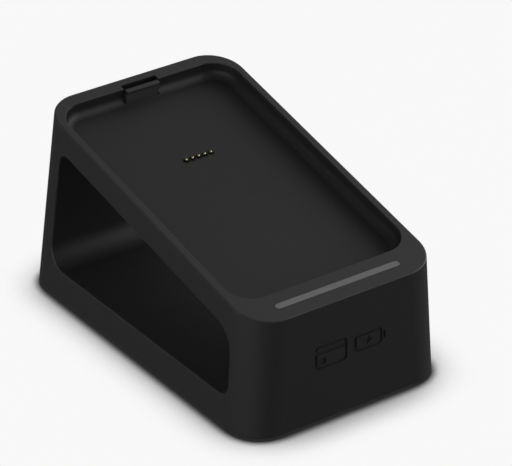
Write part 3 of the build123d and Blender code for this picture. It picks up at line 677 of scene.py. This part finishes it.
# ---------------------------------------------------------------- stage
# A light's azimuth runs from the back, over the right, to the front; all angles are in degrees.
StudioLight = namedtuple("StudioLight", "azimuth width elevation height strength")
STUDIO_LIGHTS = (
    StudioLight(azimuth=102, width=70, elevation=22, height=32, strength=3.6),
    StudioLight(azimuth=261, width=92, elevation=-5, height=24, strength=6.4),
)
AMBIENT = 0.21
FLOOR_GLOW = 0.11
PALE = 0.94

# The camera's place round the point it looks at: angles in degrees, distance in metres, lens in mm.
AIM = Vector((0.01882, 0.01148, 0.02466))
CAMERA_AZIMUTH = -35.28
CAMERA_ELEVATION = 29.57
CAMERA_DISTANCE = 1.1634
CAMERA_LENS = 235.1


def open_share(s, distance):
    """The share of the sky that is open within a distance: one far from everything."""
    occlusion = s.nodes.new("ShaderNodeAmbientOcclusion")
    occlusion.samples = 16
    occlusion.inputs["Distance"].default_value = distance
    return occlusion.outputs["AO"]


def add_floor():
    """A pale floor with a painted contact shadow round the object's foot, dim in reflections and clear
    from below.
    """
    reach, sink = 6.0, 0.02 * mm
    wide_shadow_reach, wide_shadow_dark, wide_shadow_closed, wide_shadow_open = 22 * mm, 0.22, 0.44, 0.94
    close_shadow_reach, close_shadow_dark, close_shadow_closed, close_shadow_open = 5.2 * mm, 0.10, 0.50, 0.91
    signs = ((-1, -1), (1, -1), (1, 1), (-1, 1))
    corners = [(x * reach, y * reach, -sink) for x, y in signs]
    mesh = bpy.data.meshes.new("floor")
    mesh.from_pydata(corners, [], [(0, 1, 2, 3)])
    floor = bpy.data.objects.new("floor", mesh)
    bpy.context.scene.collection.objects.link(floor)
    s = Shading("floor_paper")
    # Painted contact shadow: the floor's glow is darkened where little open sky lies within reach.
    far_open, near_open = open_share(s, wide_shadow_reach), open_share(s, close_shadow_reach)
    wide_shadow = s.ramp(far_open, wide_shadow_closed, wide_shadow_open, wide_shadow_dark, PALE, smooth=True)
    close_shadow = s.ramp(near_open, close_shadow_closed, close_shadow_open, close_shadow_dark, 1.0, smooth=True)
    seen = s.nodes.new("ShaderNodeEmission")
    unseen = s.nodes.new("ShaderNodeEmission")
    s.feed(seen.inputs["Strength"], s.math("MULTIPLY", wide_shadow, close_shadow))
    s.feed(unseen.inputs["Strength"], FLOOR_GLOW)
    above = s.mix_shaders(s.camera_ray(), unseen.outputs["Emission"], seen.outputs["Emission"])
    clear = s.nodes.new("ShaderNodeBsdfTransparent").outputs["BSDF"]
    from_below = s.nodes.new("ShaderNodeNewGeometry").outputs["Backfacing"]
    surface = s.mix_shaders(from_below, above, clear)
    s.links.new(surface, s.nodes["Material Output"].inputs["Surface"])
    mesh.materials.append(s.material)


def soft_panel(tree, azimuth, elevation, light):
    """The glow of one large soft light: full in its middle, fading out over its edges."""
    turn = tree.math("SUBTRACT", azimuth, radians(light.azimuth))
    past = tree.math("ABSOLUTE", tree.math("WRAP", turn, -pi, pi))
    above = tree.math("ABSOLUTE", tree.math("SUBTRACT", elevation, radians(light.elevation)))
    half_width, half_height = radians(light.width / 2), radians(light.height / 2)
    dark_from, full_to = 1.6, 0.4
    wide = tree.ramp(past, dark_from * half_width, full_to * half_width, smooth=True)
    high = tree.ramp(above, dark_from * half_height, full_to * half_height, smooth=True)
    return tree.math("MULTIPLY", tree.math("MULTIPLY", wide, high), light.strength)


def add_surround():
    """A dim studio with large soft lights around the object; pale where the camera sees it."""
    world = bpy.data.worlds.new("surround")
    bpy.context.scene.world = world
    world.use_nodes = True
    tree = Tree(world.node_tree)
    direction = tree.nodes.new("ShaderNodeSeparateXYZ")
    tree.links.new(tree.nodes.new("ShaderNodeTexCoord").outputs["Generated"], direction.inputs["Vector"])
    azimuth = tree.math("ARCTAN2", direction.outputs["X"], direction.outputs["Y"])
    elevation = tree.math("ARCSINE", direction.outputs["Z"])
    glow = AMBIENT
    for light in STUDIO_LIGHTS:
        glow = tree.math("ADD", soft_panel(tree, azimuth, elevation, light), glow)
    seen = tree.math("MULTIPLY", tree.camera_ray(), PALE)
    unseen = tree.math("MULTIPLY", tree.math("SUBTRACT", 1.0, tree.camera_ray()), glow)
    background = tree.nodes["Background"]
    background.inputs["Color"].default_value = (1, 1, 1, 1)
    tree.links.new(tree.math("ADD", seen, unseen), background.inputs["Strength"])


def add_camera():
    """The camera at the photograph's viewing angle."""
    azimuth, elevation = radians(CAMERA_AZIMUTH), radians(CAMERA_ELEVATION)
    toward = Vector((sin(azimuth) * cos(elevation), -cos(azimuth) * cos(elevation), sin(elevation)))
    data = bpy.data.cameras.new("camera")
    data.sensor_width = 36.0
    data.lens = CAMERA_LENS
    camera = bpy.data.objects.new("camera", data)
    camera.location = AIM + toward * CAMERA_DISTANCE
    camera.rotation_euler = toward.to_track_quat("Z", "Y").to_euler()
    bpy.context.scene.collection.objects.link(camera)
    bpy.context.scene.camera = camera


finishes = slot_materials()
paint_nodes(finishes)
ribbed_foot_pad(finishes["pad_rubber"])
socket_contacts(gold_plating("socket_gold", (0.94, 0.76, 0.40), (0.88, 0.70, 0.36)))
contact_springs()
latch_spring()
add_floor()
add_surround()
add_camera()
bpy.context.scene.view_settings.view_transform = "Standard"
